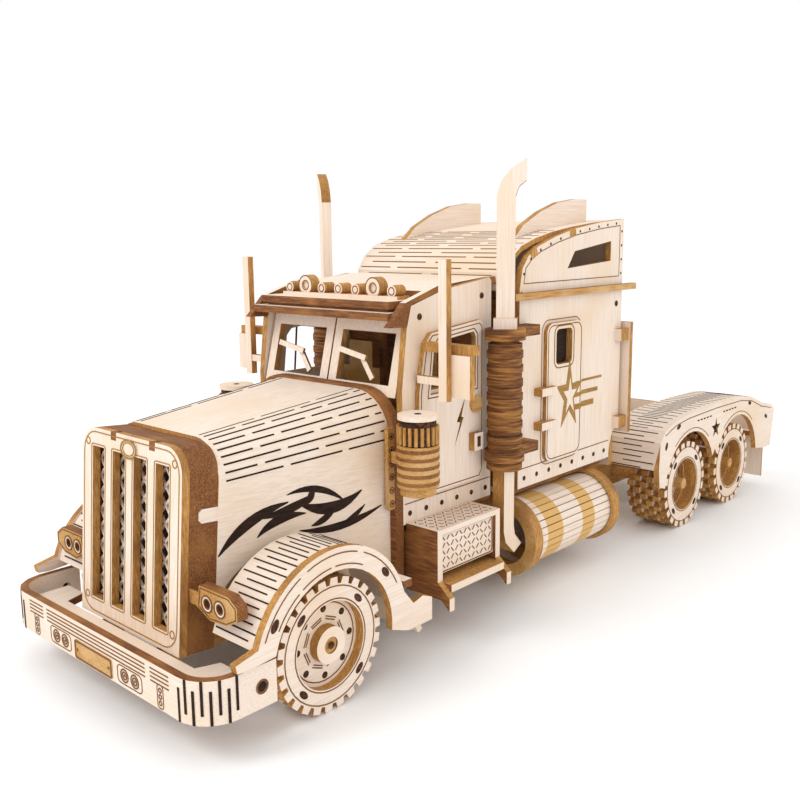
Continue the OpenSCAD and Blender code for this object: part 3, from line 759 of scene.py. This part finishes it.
def roof_kerfs(bm):
    for k, ((y, z), n) in enumerate(along_line(ROOF_LINE, 2.05)):
        up = (0,) + n
        y, z = y + n[0] * 0.03, z + n[1] * 0.03
        if y < 110:
            spans = ((-29, -16), (-13, 13), (16, 29)) if k % 2 else ((-25, -2), (2, 25))
            for x0, x1 in spans:
                bar(bm, (x0, y, z), (x1, y, z), up, 0.34)


piece("sleeper_borders", engraved, both(sleeper_lines))
piece("sleeper_bolts", scorch, both(sleeper_bolts))
piece("wing_mortises", edge, both(wing_mortises))
piece("hatch_shade_sheets", kerf, both(hatch_window_shade))
piece("star_and_stripes", gilt, both(star_and_stripes))
piece("star_core", face_z, both(star_core))
piece("sleeper_roof_kerfs", engraved, roof_kerfs)

# %% [markdown]
# ## Lamps, cleaners and tread plate
# Small turned parts get rings and teeth; the step boxes carry a chequered tread.


# %% Small parts
def lamp_rings(bm):
    for x in (-13.6, 13.6):
        for r in (2.75, 1.35):
            ring(bm, (x, 44.48, 94.1), FRONT, r, 0.28)
    for x in (-20.5, -6.8, 0, 6.8, 20.5):
        ring(bm, (x, 44.48, 93.4), FRONT, 1.0, 0.28, steps=16)


CLEANER_X, CLEANER_Y = 37, 36
UPWARD = (0, 0, 1)


def cleaner_teeth(bm, s):
    for k in range(20):
        a = math.radians(k * 18)
        x, y = CLEANER_X + 5.0 * math.cos(a), CLEANER_Y + 5.0 * math.sin(a)
        disc(bm, (s * x, y, 58.6), UPWARD, 0.45, 4.6, 8)


def cleaner_caps(bm, s):
    disc(bm, (s * CLEANER_X, CLEANER_Y, 63.1), UPWARD, 5.2, 1.2, 32)


def cleaner_bands(bm, s):
    for k in range(5):
        ring(bm, (s * CLEANER_X, CLEANER_Y, 46.4 + k * 2.1), UPWARD, 5.36, 0.3, 0.9, 32)


def cleaner_holes(bm, s):
    disc(bm, (s * CLEANER_X, CLEANER_Y, 63.72), UPWARD, 0.9)


def tread(bm, s):
    for i in range(12):
        for j in range(5):
            y, z, d = 43.6 + i * 1.8, 21.8 + j * 1.9, 0.55 if (i + j) % 2 else -0.55
            bar(bm, (s * 39.05, y - 0.5, z - d), (s * 39.05, y + 0.5, z + d), (s, 0, 0), 0.28)
    for i in range(13):
        for j in range(5):
            y, x, d = 42 + i * 1.9, 30.6 + j * 1.9, 0.5 if (i + j) % 2 else -0.5
            bar(bm, (s * (x - 0.5), y - d, 32.43), (s * (x + 0.5), y + d, 32.43), (0, 0, 1), 0.26)
    track(bm, [(s * 39.04, y, z) for y, z in rounded(22.2, 10.2, 1, 53.5, 25.5)], (s, 0, 0), 0.3, closed=True)


piece("roof_lamp_rings", engraved, lamp_rings)
piece("cleaner_teeth", edge, both(cleaner_teeth))
piece("cleaner_caps", face_y, both(cleaner_caps))
piece("cleaner_bands", brown, both(cleaner_bands))
piece("cleaner_holes", kerf, both(cleaner_holes))
piece("step_tread", engraved, both(tread))

# %% [markdown]
# ## Wheels
# The wheels are stacks of discs. On each outer face there is a ring of tenons, etched circles and, on
# the front pair, spokes between small holes.

# %% Wheel faces
TYRE_X = 42.0


def tyre_lines(y, front):
    def build(bm, s):
        x = s * (TYRE_X + 0.02)
        for r, w in ((13.9, 0.3), (10.9 if front else 10.1, 0.3)):
            ring(bm, (x, y, WHEEL_Z), (s, 0, 0), r, w, steps=40)
        inner = s * (TYRE_X - (2.48 if front else 7.48))
        ring(bm, (inner, y, WHEEL_Z), (s, 0, 0), 9.4 if front else 8.8, 0.3, steps=32)
        for k in range(8):
            a = math.radians(22.5 + 45 * k)
            for r in (5.6, 6.2):
                ends = [(inner,) + round_wheel(r, a + step, y) for step in (-0.28, 0.28)]
                bar(bm, *ends, (s, 0, 0), 0.3)
    return both(build)


def tyre_tenons(y, front):
    def build(bm, s):
        for k in range(4):
            a = 45 + 90 * k
            r = 12.4 if front else 12
            plate_tenon(bm, s, *round_wheel(r, math.radians(a), y), a + 90, TYRE_X, 1.5, 0.8)
        disc(bm, (s * (TYRE_X - (0 if front else 5) + 0.03), y, WHEEL_Z), (s, 0, 0), 0.9)
        for k in range(8):
            a, r = math.radians(45 * k), (10.4 if front else 9.6) * 0.78
            x = s * (TYRE_X - (2.5 if front else 7.5))
            disc(bm, (x,) + round_wheel(r, a, y), (s, 0, 0), 0.85)
    return both(build)


for body, y, front in (("front_axle", 0, True), ("middle_axle", MIDDLE_AXLE_Y, False),
    ("rear_axle", REAR_AXLE_Y, False)):
    piece(body + "_wheel_lines", engraved, tyre_lines(y, front), body)
    piece(body + "_wheel_tenons", scorch, tyre_tenons(y, front), body)

# %% [markdown]
# ## Studio
# A pale floor that runs out of sight, a bright even sky and two large soft lamps give the flat, clean
# light of a product table. The camera stands close, a little above the roof.


# %% Floor, light and camera
bm = bmesh.new()
bmesh.ops.create_grid(bm, x_segments=1, y_segments=1, size=6)
mesh = bpy.data.meshes.new("floor")
bm.to_mesh(mesh)
bm.free()
floor = bpy.data.objects.new("floor", mesh)
bpy.context.scene.collection.objects.link(floor)
paper = bpy.data.materials.new("white_paper")
paper.use_nodes = True
paper.node_tree.nodes["Principled BSDF"].inputs["Base Color"].default_value = linear("#FFFFFF")
paper.node_tree.nodes["Principled BSDF"].inputs["Roughness"].default_value = 0.9
mesh.materials.append(paper)

world = bpy.data.worlds.new("studio")
bpy.context.scene.world = world
world.use_nodes = True
world.node_tree.nodes["Background"].inputs["Color"].default_value = linear("#FFFFFF")
world.node_tree.nodes["Background"].inputs["Strength"].default_value = 1.0


def lamp(name, place, target, size, power):
    light = bpy.data.lights.new(name, "AREA")
    light.shape, light.size, light.energy = "DISK", size, power
    made = bpy.data.objects.new(name, light)
    made.location = place
    made.rotation_euler = (Vector(target) - Vector(place)).to_track_quat("-Z", "Y").to_euler()
    bpy.context.scene.collection.objects.link(made)


lamp("key", (-0.25, -0.75, 0.8), (0, 0, 0.05), 0.45, 3.2)
lamp("fill", (0.9, -0.1, 0.5), (0, 0, 0.05), 0.6, 0.8)

YAW, PITCH, ROLL = (math.radians(v) for v in (43.0, 9.9, -0.7))
look = Vector((-math.sin(YAW) * math.cos(PITCH), math.cos(YAW) * math.cos(PITCH), -math.sin(PITCH)))
right = look.cross(Vector((0, 0, 1))).normalized()
up = right.cross(look)
right, up = (right * math.cos(ROLL) + up * math.sin(ROLL), up * math.cos(ROLL) - right * math.sin(ROLL))
camera_data = bpy.data.cameras.new("camera")
camera_data.lens, camera_data.sensor_width = 41.0, 36.0
camera_data.shift_x, camera_data.shift_y = 0.007, -0.009
camera_data.clip_start = 0.01
camera = bpy.data.objects.new("camera", camera_data)
placed = Matrix((right, up, -look)).transposed().to_4x4()
placed.translation = at(186.1, -132.4, 108.4)
camera.matrix_world = placed
bpy.context.scene.collection.objects.link(camera)
bpy.context.scene.camera = camera
bpy.context.scene.view_settings.view_transform = "Standard"
